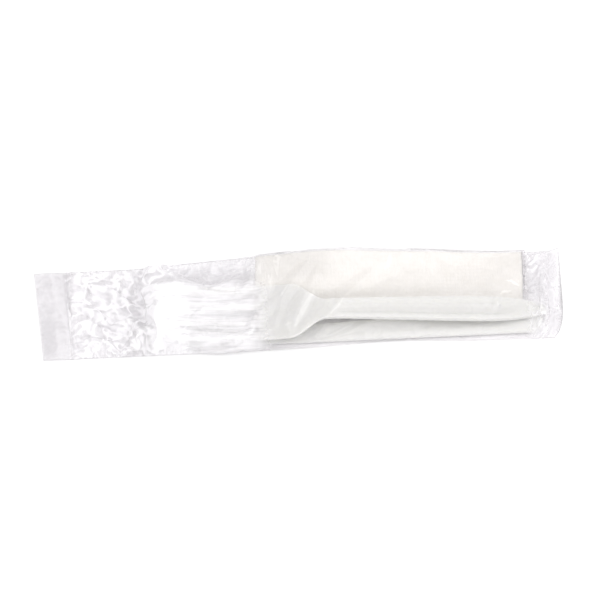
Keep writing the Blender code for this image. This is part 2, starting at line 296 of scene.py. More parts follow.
def fork_dish(s):
    return HEAD_DISH * mix(0.5, 1.0, ease(s, 0.0, TINE_LENGTH)) * (1.0 - ease(s, *SHOULDER))


def fork_sheet(s):
    head = mix(TIP_SHEET, HEAD_SHEET, ease(s, 0.0, TIP_SHEET_RUN))
    return mix(head, HANDLE_SHEET, ease(s, *SHEET_CHANGE))


def fork_columns(s):
    """Y of each line across the fork: five to a tine, and one empty cell to a slot."""
    half = fork_half(s)
    pitch = 2.0 * half / TINES
    tip = max(1.0 - s / TIP_POINT, 0.0)
    tine = 0.5 * pitch * TINE_SHARE * max(math.sqrt(1.0 - tip * tip), LEAST_TIP)
    slot_half = 0.5 * pitch * (1.0 - TINE_SHARE)
    root = (s - TINE_LENGTH) / slot_half + 1.0
    if 0.0 < root <= 1.0:
        tine = 0.5 * pitch - slot_half * max(math.sqrt(1.0 - root * root), LEAST_ROOT)
    outer = half - 0.5 * pitch * TINE_SHARE
    columns = []
    for k in range(TINES):
        centre = mix(-outer, outer, k / (TINES - 1))
        columns += [min(max(centre + tine * line, -half), half) for line in TINE_LINES]
    return columns


def fork_rows():
    """Places along the fork, closest together at the tips, the slots' roots and the handle's end."""
    tips = [TIP_POINT * t for t in (0.0, 0.06, 0.2, 0.45)]
    tines = list(np.linspace(TIP_POINT, TINE_LENGTH - TINE_ROWS_BACK, 12))
    roots = [TINE_LENGTH - back for back in ROOT_ROWS_BACK]
    head = list(np.linspace(*HEAD_ROWS, 22))
    handle = list(np.linspace(HANDLE_ROWS_START, FORK_LENGTH - HANDLE_END, 18))
    end = [FORK_LENGTH - HANDLE_END * (1.0 - math.sin(t)) for t in np.linspace(0.15, 0.5 * math.pi, 14)]
    return tips + tines + roots + head + handle + end


def fork_top(s, y):
    half = fork_half(s)
    across = min(abs(y) / half, 1.0)
    runs_in = ease(s, CHANNEL[0], CHANNEL[0] + CHANNEL_RUN)
    runs_out = ease(s, CHANNEL[1] - CHANNEL_RUN, CHANNEL[1])
    channel = CHANNEL_DEPTH * runs_in * (1.0 - runs_out) * (1.0 - ease(across, *CHANNEL_SIDES))
    return fork_mid(s) + 0.5 * fork_sheet(s) + fork_dish(s) * across ** 2 - channel


def fork_under(s, y):
    across = min(abs(y) / fork_half(s), 1.0)
    return fork_mid(s) - 0.5 * fork_sheet(s) + fork_dish(s) * across ** 2


def make_fork():
    rows = fork_rows()
    per_tine = len(TINE_LINES)
    slots = {per_tine * k - 1 for k in range(1, TINES)}

    def solid_cell(i, j):
        return not (j in slots and rows[i + 1] <= TINE_LENGTH)

    fork = sheet_solid("fork_moulding", rows, fork_columns, fork_top, fork_under, solid_cell, 1)
    fork.location = (FORK_TIP_X, FORK_AXIS_Y - FORK_LOW_S * math.tan(FORK_YAW), 0.0)
    fork.rotation_euler = (0.0, 0.0, FORK_YAW)
    apply_modifiers(fork)
    return fork


# Knife

def knife_width(s):
    point = max(1.0 - s / BLADE_POINT, 0.0)
    blade = BLADE_WIDTH * max(math.sqrt(1.0 - point * point), 0.08)
    blade = mix(blade, KNIFE_NECK_WIDTH, ease(s, *BLADE_TAPER))
    handle = mix(KNIFE_NECK_WIDTH, KNIFE_HANDLE_WIDTH, ease(s, KNIFE_NECK[1], KNIFE_NECK_TO))
    end = max((s - KNIFE_LENGTH + 0.5 * KNIFE_HANDLE_WIDTH) / (0.5 * KNIFE_HANDLE_WIDTH), 0.0)
    rounded = max(math.sqrt(max(1.0 - end * end, 0.0)), 0.15)
    return mix(blade, handle, ease(s, *KNIFE_NECK)) * rounded


def knife_columns(s):
    width = knife_width(s)
    near = KNIFE_NEAR_Y
    if s > KNIFE_LENGTH - 0.5 * KNIFE_HANDLE_WIDTH:
        near += 0.5 * (KNIFE_HANDLE_WIDTH - width)
    elif TEETH[0] < s < TEETH[1]:
        near += TOOTH_DEPTH * (round((s - TEETH[0]) / (0.5 * TOOTH_PITCH)) % 2)
        width -= near - KNIFE_NEAR_Y
    return [mix(near, near + width, t) for t in KNIFE_LINES]


def knife_rows():
    point = [BLADE_POINT * (1.0 - math.cos(t)) for t in np.linspace(0.0, 0.5 * math.pi, 9)]
    teeth = list(np.arange(TEETH[0], TEETH[1] + 0.0001, 0.5 * TOOTH_PITCH))
    handle = list(np.linspace(KNIFE_SHEET_CHANGE[0], KNIFE_LENGTH - 0.5 * KNIFE_HANDLE_WIDTH, 34))
    end = [KNIFE_LENGTH - 0.5 * KNIFE_HANDLE_WIDTH * (1.0 - math.sin(t))
           for t in np.linspace(0.3, 0.5 * math.pi, 9)]
    return point + teeth + handle + end


def knife_top(s, y):
    """A thin blade, and a thicker handle with rounded sides and a shallow channel."""
    columns = knife_columns(s)
    across = (y - columns[0]) / (columns[-1] - columns[0])
    crown = 1.0 - (2.0 * across - 1.0) ** 4
    sheet = mix(BLADE_SHEET, KNIFE_HANDLE_SHEET, ease(s, *KNIFE_SHEET_CHANGE))
    channel = KNIFE_CHANNEL_DEPTH * ease(s, *KNIFE_CHANNEL_START) * (1.0 - ease(s, *KNIFE_CHANNEL_STOP))
    channel *= 1.0 - ease(abs(2.0 * across - 1.0), *KNIFE_CHANNEL_SIDES)
    return KNIFE_Z + sheet * mix(KNIFE_SIDE_SHARE, 1.0, crown) - channel


def make_knife():
    knife = sheet_solid("knife_moulding", knife_rows(), knife_columns, knife_top,
                        lambda s, y: KNIFE_Z, lambda i, j: True, 1)
    knife.location = (KNIFE_LOW[0], 0.0, 0.0)
    apply_modifiers(knife)
    return knife


# Napkin

def make_napkin():
    """One strip of tissue folded to and fro: its cross-section is a single line that turns at each side."""
    stations = np.linspace(*NAPKIN_X, 150)
    across = np.linspace(0.0, 1.0, 34)
    turn = np.linspace(0.0, math.pi, 5)[1:-1]
    gap = (NAPKIN_THICKNESS - LEAF) / (LEAVES - 1)
    line, level = [], []
    for n in range(LEAVES):
        ordered = across if n % 2 == 0 else across[::-1]
        for t in ordered:
            line.append(t)
            level.append(float(n))
        if n < LEAVES - 1:
            side = 1.0 if n % 2 == 0 else 0.0
            for a in turn:
                line.append(side + (FOLD_OUT if side else -FOLD_OUT) * math.sin(a))
                level.append(n + 0.5 * (1.0 - math.cos(a)))
    line, level = np.array(line), np.array(level)
    shape = (len(stations), len(line))
    x = stations[:, None] + np.zeros(shape)
    near = NAPKIN_NEAR_Y + NAPKIN_NEAR_ROOM + SIDE_WAVE * noise((len(stations), 1), (9, 1), 5)
    far = far_edge(stations)[:, None] - NAPKIN_FAR_ROOM + SIDE_WAVE * noise((len(stations), 1), (7, 1), 6)
    y = near + (far - near) * line[None, :]
    x = x + NAPKIN_SLANT * (y - NAPKIN_NEAR_Y) / (HALF_WIDTH - NAPKIN_NEAR_Y)
    # Each leaf ends a little differently, so the short sides show their layers
    from_middle = np.linspace(-1.0, 1.0, len(stations))
    ends = ease(np.abs(from_middle), 0.93, 1.0) * np.sign(from_middle)
    rng = np.random.default_rng(11)
    uneven = rng.uniform(*END_UNEVEN, LEAVES)
    uneven[-1] = 0.0
    x = x + ends[:, None] * uneven[np.round(level).astype(int)][None, :]
    # Soft undulations grow towards the top leaves
    cells = (len(stations), len(across))
    wave = noise(cells, (13, 4), 21) * 0.6 + noise(cells, (26, 7), 22) * 0.25
    column = np.clip(np.round(line * (len(across) - 1)).astype(int), 0, len(across) - 1)
    height_share = (level / (LEAVES - 1))[None, :] ** SWELL_POWER
    swell = wave[:, column] * height_share * SWELL
    free = ease(y, *FREE_Y)
    base = floor_z(x, np.minimum(y, far_edge(x))) + NAPKIN_UNDER_ROOM
    left_span, right_span = NAPKIN_CREASE_SPANS
    beyond = x - NAPKIN_CREASE_X
    aside = np.where(beyond < 0.0, -beyond / left_span, beyond / right_span)
    swell = swell + NAPKIN_CREASE * np.maximum(1.0 - aside, 0.0) * height_share
    z = base + LEAF * 0.5 + level[None, :] * gap * (1.0 + LOFT * free) + swell * free
    return ribbon_solid("napkin_folded_tissue", np.stack([x, y, z], axis=2), LEAF)


def ribbon_solid(name, grid, thickness):
    """A closed thin sheet around a grid of points: the grid's columns run along the fold line."""
    rows, columns = grid.shape[:2]
    along = np.gradient(grid, axis=1)
    normal = np.stack([np.zeros((rows, columns)), -along[:, :, 2], along[:, :, 1]], axis=2)
    normal /= np.maximum(np.linalg.norm(normal, axis=2, keepdims=True), 1e-9)
    outer, inner = grid + normal * thickness * 0.5, grid - normal * thickness * 0.5
    loop = np.concatenate([outer, inner[:, ::-1]], axis=1)
    around = loop.shape[1]
    verts = loop.reshape(-1, 3)
    faces = []
    for i in range(rows - 1):
        for j in range(around):
            k = (j + 1) % around
            a, b = i * around + j, i * around + k
            faces.append((a, b, b + around, a + around))
    for i, flip in ((0, True), (rows - 1, False)):
        for j in range(columns - 1):
            a, b = i * around + j, i * around + j + 1
            c, d = i * around + around - 2 - j, i * around + around - 1 - j
            faces.append((d, c, b, a) if flip else (a, b, c, d))
    piece = make_object(name, verts, faces)
    face_outwards(piece)
    return piece


def face_outwards(piece):
    bm = bmesh.new()
    bm.from_mesh(piece.data)
    bmesh.ops.recalc_face_normals(bm, faces=bm.faces)
    bm.to_mesh(piece.data)
    bm.free()


# Film

FILM_PITCH = 0.00052
PUFF = 0.0006
TUCK_X = 0.0920
TUCK_HALF = 0.0016
TUCK_SLACK = 0.9
TUCK_SLOPE = 2.5
TAUT_SLACK = 0.004
LOOSE_SLACK = 0.13
COVER_CELLS = (100, 28)
CRUMPLE_END = (-0.035, 0.010)
HEIGHT_CELL = 0.0005
SIDE_Z = 0.0006
HULL_ROOM = 0.0003
CONTENTS_ROOM = 0.00025
LOWER_ROOM = 0.0003
TUCK_BEYOND = 0.0010
TUCK_Z = 0.0007
SLACK_START = (-HALF_LENGTH + LEFT_SEAL, -0.089)
SLACK_ALONG_END = (-0.062, -0.030)
SLACK_ACROSS_END = (-0.032, -0.006)
RIGHT_CORNER_POWER = 8
RIGHT_FLARE = 0.0022
# Each finer level of the drape: steps, stiffness in bending, fall per step, height of its random bumps
DRAPE_LEVELS = ((80, 0.05, 1e-6, 0.0022), (120, 0.03, 0.5e-6, 0.0013), (120, 0.02, 0.3e-6, 0.0005))


def covered_heights(pieces, xs, ys):
    """Highest point of these pieces under each place of a grid, or 0."""
    heights = np.zeros((len(xs), len(ys)))
    down = Vector((0.0, 0.0, -1.0))
    graph = bpy.context.evaluated_depsgraph_get()
    for piece in pieces:
        tree = BVHTree.FromObject(piece, graph)
        low, high = piece.bound_box[0], piece.bound_box[6]
        for i in np.flatnonzero((xs >= low[0]) & (xs <= high[0])):
            for j in np.flatnonzero((ys >= low[1]) & (ys <= high[1])):
                hit = tree.ray_cast(Vector((xs[i], ys[j], 0.05)), down)[0]
                if hit is not None:
                    heights[i, j] = max(heights[i, j], hit.z)
    return heights


def read_grid(grid, xs, ys, x, y):
    """The grid's value at each place, between its points."""
    u = np.clip((x - xs[0]) / (xs[1] - xs[0]), 0.0, len(xs) - 1.001)
    v = np.clip((y - ys[0]) / (ys[1] - ys[0]), 0.0, len(ys) - 1.001)
    i, j = u.astype(int), v.astype(int)
    u, v = u - i, v - j
    return ((1 - u) * (1 - v) * grid[i, j] + u * (1 - v) * grid[i + 1, j]
            + (1 - u) * v * grid[i, j + 1] + u * v * grid[i + 1, j + 1])


def widened(grid, cells):
    """Each point takes the highest value near it, so that film clears sharp edges."""
    wide = grid.copy()
    for axis in (0, 1):
        for _ in range(cells):
            wide = np.maximum(wide, np.maximum(np.roll(wide, 1, axis), np.roll(wide, -1, axis)))
    return wide


def taut(heights, ys, near, far, near_z, far_z):
    """Upper hull of one section, as heights at ys."""
    points = [(near, near_z)] + [(y, z) for y, z in zip(ys, heights) if near < y < far and z > 0.0]
    points.append((far, far_z))
    hull = []
    for p in points:
        while len(hull) > 1:
            a, b = hull[-2:]
            if (b[0] - a[0]) * (p[1] - a[1]) - (b[1] - a[1]) * (p[0] - a[0]) < 0.0:
                break
            hull.pop()
        hull.append(p)
    return hull


def pull(points, first, second, rest, stiffness, weights):
    """Moves each pair of points towards its rest distance."""
    a, b = points[first], points[second]
    apart = b - a
    long = np.sqrt((apart ** 2).sum(axis=-1))
    wa, wb = weights[first], weights[second]
    share = stiffness * (long - rest) / np.maximum(long, 1e-9) / np.maximum(wa + wb, 1e-9)
    step = apart * share[..., None]
    points[first] += step * wa[..., None]
    points[second] -= step * wb[..., None]


def pairs(shape, di, dj, colours):
    """Slices of a grid's points and of those di rows and dj columns on, in groups that share no point."""
    rows, columns = shape
    found = []
    for colour in range(colours):
        if di:
            first = (slice(colour, rows - di, colours), slice(max(-dj, 0), columns - max(dj, 0)))
            second = (slice(colour + di, rows, colours), slice(max(dj, 0), columns - max(-dj, 0)))
        else:
            first = (slice(0, rows), slice(colour, columns - dj, colours))
            second = (slice(0, rows), slice(colour + dj, columns, colours))
        count = [min(len(range(*f.indices(n))), len(range(*s.indices(n))))
                 for f, s, n in zip(first, second, shape)]
        first = tuple(slice(f.start, f.start + (f.step or 1) * c, f.step) for f, c in zip(first, count))
        second = tuple(slice(s.start, s.start + (s.step or 1) * c, s.step) for s, c in zip(second, count))
        found.append((first, second))
    return found


def relax(points, rest_x, rest_y, fixed, floor_at, steps, bend, gravity, rounds=2):
    """Settles a sheet of film, which keeps its length, resists sharp bending and rests on what it covers."""
    shape = points.shape[:2]
    weights = np.where(fixed, 0.0, 1.0)
    groups = []
    for di, dj, colours, stiffness in ((1, 0, 2, 1.0), (0, 1, 2, 1.0), (1, 1, 2, 0.6), (1, -1, 2, 0.6),
                                       (2, 0, 4, bend), (0, 2, 4, bend)):
        rest = np.hypot(di * rest_x, dj * rest_y)
        groups += [(a, b, rest[a], stiffness) for a, b in pairs(shape, di, dj, colours)]
    before = points.copy()
    for _ in range(steps):
        moved = points + 0.9 * (points - before) * weights[..., None]
        moved[..., 2] -= gravity * weights
        before = points
        points = moved
        for _ in range(rounds):
            for a, b, rest, stiffness in groups:
                pull(points, a, b, rest, stiffness, weights)
        lowest = floor_at(points[..., 0], points[..., 1])
        held = np.minimum(points[..., 2], tucked_at(points[..., 0], points[..., 1]))
        points[..., 2] = np.where(fixed, points[..., 2], np.maximum(held, lowest))
    return points


def tucked_at(x, y):
    """Film is creased down just beyond the napkin's end, and free elsewhere."""
    crease = NAPKIN_X[1] + TUCK_BEYOND + NAPKIN_SLANT * (y - NAPKIN_NEAR_Y) / (HALF_WIDTH - NAPKIN_NEAR_Y)
    free = ease(np.abs(y - 0.010), 0.009, 0.012)
    return floor_z(x, y) + TUCK_Z + TUCK_SLOPE * np.abs(x - crease) + 0.02 * free


def finer(values):
    """Twice as many points along both sides of a grid."""
    for axis in (0, 1):
        values = np.moveaxis(values, axis, 0)
        middle = 0.5 * (values[1:] + values[:-1])
        if len(values) > 3:
            middle[1:-1] = (9 * (values[1:-2] + values[2:-1]) - (values[:-3] + values[3:])) / 16
        joined = np.empty((2 * len(values) - 1,) + values.shape[1:])
        joined[0::2], joined[1::2] = values, middle
        values = np.moveaxis(joined, 0, axis)
    return values


def slack_along(x):
    """Spare length of film along the pack, as a share: much of it beyond the tines, and little elsewhere."""
    return TAUT_SLACK + LOOSE_SLACK * ease(x, *SLACK_START) * (1.0 - ease(x, *SLACK_ALONG_END))


def slack_across(x):
    """Spare width, which runs on over the tines and gathers there in long streaks."""
    return TAUT_SLACK + LOOSE_SLACK * ease(x, *SLACK_START) * (1.0 - ease(x, *SLACK_ACROSS_END))


def stations(start, end, count):
    """Places along the film, twice as close together where it is crumpled."""
    fine = np.linspace(start, end, 2000)
    density = 1.0 - 0.5 * ease(fine, *CRUMPLE_END) + 0.5 * ease(fine, 0.088, 0.098)
    density += 1.2 * np.exp(-(((fine - TUCK_X) / (2.0 * TUCK_HALF)) ** 2))
    total = np.concatenate([[0.0], np.cumsum(0.5 * (density[1:] + density[:-1]))])
    return np.interp(np.linspace(0.0, total[-1], count), total, fine)


def corners_in(x, y):
    """How far each end's near corner is drawn in."""
    nearness = 0.5 - 0.5 * y / HALF_WIDTH
    left = LEFT_CORNER_IN * nearness * ease(-x, 0.070, HALF_LENGTH - LEFT_SEAL)
    right = RIGHT_CORNER_IN * nearness ** RIGHT_CORNER_POWER * ease(x, 0.090, HALF_LENGTH - RIGHT_SEAL)
    return left - right


def upper_web(contents):
    """The film over the contents, as a grid of points from the left seal to the right one."""
    heights_x = np.arange(-HALF_LENGTH, HALF_LENGTH, HEIGHT_CELL)
    heights_y = np.arange(-HALF_WIDTH, HALF_WIDTH, HEIGHT_CELL)
    heights = widened(covered_heights(contents, heights_x, heights_y), 2)
    rows, columns = COVER_CELLS
    x = stations(-HALF_LENGTH + LEFT_SEAL, HALF_LENGTH - RIGHT_SEAL, rows)
    points = np.zeros((rows, columns, 3))
    for i, at in enumerate(x):
        near, far = float(near_edge(at)), float(far_edge(at))
        row = heights[min(int((at - heights_x[0]) / HEIGHT_CELL), len(heights_x) - 1)]
        far_z = float(floor_z(at, far)) + SIDE_Z
        hull = np.array(taut(row + (row > 0) * HULL_ROOM, heights_y, near, far, SIDE_Z, far_z))
        along = np.concatenate([[0.0], np.cumsum(np.hypot(*np.diff(hull, axis=0).T))])
        even = np.linspace(0.0, along[-1], columns)
        points[i, :, 0] = at
        points[i, :, 1] = np.interp(even, along, hull[:, 0])
        points[i, :, 2] = np.interp(even, along, hull[:, 1])
    # The hull's height jumps where a piece begins, so a moving mean along X gives the drape its slopes
    smooth = points[:, :, 2].copy()
    for _ in range(6):
        smooth[1:-1] = np.maximum(smooth[1:-1], 0.5 * (smooth[2:] + smooth[:-2]))
    loose = slack_along(x) / LOOSE_SLACK
    puff = np.sin(np.pi * np.linspace(0.0, 1.0, columns))[None, :] * loose[:, None]
    points[:, :, 2] = np.maximum(smooth, points[:, :, 2]) + PUFF * puff
    points[:, :, 0] += corners_in(points[:, :, 0], points[:, :, 1])
    lengths_y = np.linalg.norm(np.diff(points, axis=1), axis=2).mean(axis=1)
    lengths_x = np.linalg.norm(np.diff(points, axis=0), axis=2)
    lengths_x = np.concatenate([lengths_x, lengths_x[-1:]])
    rest_x = lengths_x * (1.0 + slack_along(x))[:, None]
    at_tuck = np.exp(-(((points[:, :, 0] - TUCK_X) / TUCK_HALF) ** 2)) * ease(points[:, :, 1], -0.002, 0.002)
    rest_x *= 1.0 + TUCK_SLACK * at_tuck
    rest_y = np.repeat((lengths_y * (1.0 + slack_across(x)))[:, None], columns, axis=1)

    def floor_at(px, py):
        contents_z = read_grid(heights, heights_x, heights_y, px, py) + CONTENTS_ROOM
        return np.maximum(contents_z, floor_z(px, py) + LOWER_ROOM)

    drawn = ease(x, -0.098, -0.088) * (1.0 - ease(x, -0.045, 0.02))
    uneven = (0.008 + 0.10 * drawn)[:, None]
    rest_x *= 1.0 + uneven * noise((rows, columns), (22, 9), 31)
    rest_y *= 1.0 + uneven * noise((rows, columns), (22, 9), 32)

    levels = DRAPE_LEVELS
    for level, (steps, bend, gravity, roughness) in enumerate(levels):
        if level:
            points, rest_x, rest_y = finer(points), 0.5 * finer(rest_x), 0.5 * finer(rest_y)
        shape = points.shape[:2]
        fixed = np.zeros(shape, bool)
        fixed[0], fixed[-1], fixed[:, 0], fixed[:, -1] = True, True, True, True
        cells = (shape[0] / (4.0 + 1.0 * level), shape[1] / (3.5 + 1.0 * level))
        loose = 0.35 * (slack_across(points[:, shape[1] // 2, 0]) / LOOSE_SLACK)[:, None]
        loose += 0.65 * (slack_along(points[:, shape[1] // 2, 0]) / LOOSE_SLACK)[:, None]
        points[..., 2] += np.where(fixed, 0.0, noise(shape, cells, 40 + level) * roughness * (0.05 + loose))
        points = relax(points, rest_x, rest_y, fixed, floor_at, steps, bend, gravity)
    return points


def make_film(contents):
    upper = upper_web(contents)
    columns = upper.shape[1]
    lower = lower_web(upper)
    grid = np.concatenate([upper, lower[:, ::-1][:, 1:-1]], axis=1)
    grid = np.concatenate([seal_rows(grid, columns, -1), grid, seal_rows(grid, columns, 1)], axis=0)
    around = grid.shape[1]
    verts = grid.reshape(-1, 3)
    faces = []
    for i in range(len(grid) - 1):
        for j in range(around):
            k = (j + 1) % around
            a, b = i * around + j, i * around + k
            faces.append((a, a + around, b + around, b))
    for i, flip in ((0, False), (len(grid) - 1, True)):
        # The last sliver at the far edge, 0.1 mm high, stays open
        for j in range(columns - 2):
            a, b = i * around + j, i * around + j + 1
            c, d = i * around + (around - j) % around, i * around + (around - j - 1) % around
            ring = [a, b, d, c] if j else [a, b, d]
            faces.append(tuple(ring[::-1]) if flip else tuple(ring))
    film = make_object("film_sleeve", verts, faces)
    face_outwards(film)
    return film


def lower_web(upper):
    """The film under the pack meets the upper web at both sides and lies on the surface, nearly flat."""
    rows, columns = upper.shape[:2]
    share = np.linspace(0.0, 1.0, columns)[None, :]
    x = mix(upper[:, :1, 0], upper[:, -1:, 0], share)
    y = mix(upper[:, :1, 1], upper[:, -1:, 1], share)
    z = floor_z(x, y)
    crinkle = noise((rows, columns), (rows / 12, columns / 9), 71)
    crinkle = crinkle + 0.5 * noise((rows, columns), (rows / 5, columns / 5), 72)
    inside = np.sin(np.pi * share) ** 0.5
    empty = ease(x, -0.098, -0.090) * (1.0 - ease(x, -0.068, -0.058))
    z = z + (0.00012 + 0.0005 * empty) * (1.0 + np.clip(crinkle, -1.0, 1.0)) * inside
    z = np.where(share == 0.0, upper[:, :1, 2], np.where(share == 1.0, upper[:, -1:, 2], np.maximum(z, 0.0)))
    return np.stack([x, y, z], axis=2)


def seal_rows(grid, columns, side):
    """The pressed strip beyond one end, with both webs together."""
    end = grid[0] if side < 0 else grid[-1]
    length = LEFT_SEAL if side < 0 else RIGHT_SEAL
    count = max(int(length / FILM_PITCH), 3)
    out = np.arange(1, count + 1) / count
    around = len(end)
    upper = np.arange(around) < columns
    strip = np.repeat(end[None], count, axis=0)
    strip[:, :, 0] += side * length * out[:, None]
    across = (end[:, 1] + HALF_WIDTH) / (2 * HALF_WIDTH)
    flare = 0.0 if side < 0 else RIGHT_FLARE
    rise = flare * out[:, None] ** 1.5 * across[None, :] ** 1.5
    wrinkle = noise((count, around), (2, 9), 80 + side)
    lift_off = 0.00035 * (1.0 + wrinkle) * ease(out, 0.0, 0.5)[:, None]
    strip[:, :, 2] = rise + 0.00008 + np.where(upper, 0.0001, 0.0)[None, :]
    # Both webs share one shape, so the upper's crease is read for the lower as well
    mirror = np.where(upper, np.arange(around), (around - np.arange(around)) % around)
    strip[:, :, 2] += lift_off[:, mirror]
    return strip[::-1] if side < 0 else strip


# Materials

SEAL_EDGE = (-HALF_LENGTH + LEFT_SEAL, -0.090)
RIGHT_CRUMPLE = (0.089, 0.095)
OVER_TINES = ((-0.066, -0.050), (-0.022, -0.009))
BESIDE_TINES_END = (0.008, 0.018)
TINES_FAR_Y = (0.005, 0.010)
CLEAR_FILM = (0.978, 0.972, 0.978, 1.0)
# Darker film for the pressed seal's two webs, and for the painted shade beside the tines.
SEAL_AND_SHADED_FILM = (0.925, 0.920, 0.926, 1.0)
# White of the film's milkiness and of its painted highlights.
HAZE_AND_HIGHLIGHT_WHITE = (0.98, 0.97, 0.985, 1.0)


def new_material(name):
    material = bpy.data.materials.new(name)
    material.use_nodes = True
    tree = material.node_tree
    tree.nodes.clear()
    output = tree.nodes.new("ShaderNodeOutputMaterial")
    return material, tree, output


def node(tree, kind, **inputs):
    made = tree.nodes.new("ShaderNode" + kind)
    for key, value in inputs.items():
        made.inputs[key.replace("_", " ")].default_value = value
    return made


def math_node(tree, operation, *values):
    made = tree.nodes.new("ShaderNodeMath")
    made.operation = operation
    for k, value in enumerate(values):
        if isinstance(value, (int, float)):
            made.inputs[k].default_value = value
        else:
            tree.links.new(value, made.inputs[k])
    return made.outputs[0]


def ridges(tree, place, scale, sharpness, warp):
    """Thin bright lines along the borders of warped cells: 0 in the cells and 1 on the lines."""
    shift = node(tree, "TexNoise", Scale=scale * 0.8, Detail=0.5)
    tree.links.new(place, shift.inputs["Vector"])
    bent = tree.nodes.new("ShaderNodeVectorMath")
    bent.operation = "MULTIPLY_ADD"
    bent.inputs[1].default_value = (warp, warp, warp)
    tree.links.new(shift.outputs["Color"], bent.inputs[0])
    tree.links.new(place, bent.inputs[2])
    cells = tree.nodes.new("ShaderNodeTexVoronoi")
    cells.feature = "DISTANCE_TO_EDGE"
    cells.inputs["Scale"].default_value = scale
    tree.links.new(bent.outputs[0], cells.inputs["Vector"])
    far = math_node(tree, "MULTIPLY", cells.outputs["Distance"], sharpness)
    return math_node(tree, "SUBTRACT", 1.0, math_node(tree, "MINIMUM", far, 1.0))


def along_pack(tree, place, start, end, low, high, axis="X"):
    """A share that runs from low to high between two places along the pack, or across it."""
    split = tree.nodes.new("ShaderNodeSeparateXYZ")
    tree.links.new(place, split.inputs[0])
    span = tree.nodes.new("ShaderNodeMapRange")
    span.interpolation_type = "SMOOTHSTEP"
    for k, value in enumerate((start, end, low, high)):
        span.inputs[k + 1].default_value = value
    tree.links.new(split.outputs[axis], span.inputs[0])
    return span.outputs[0]


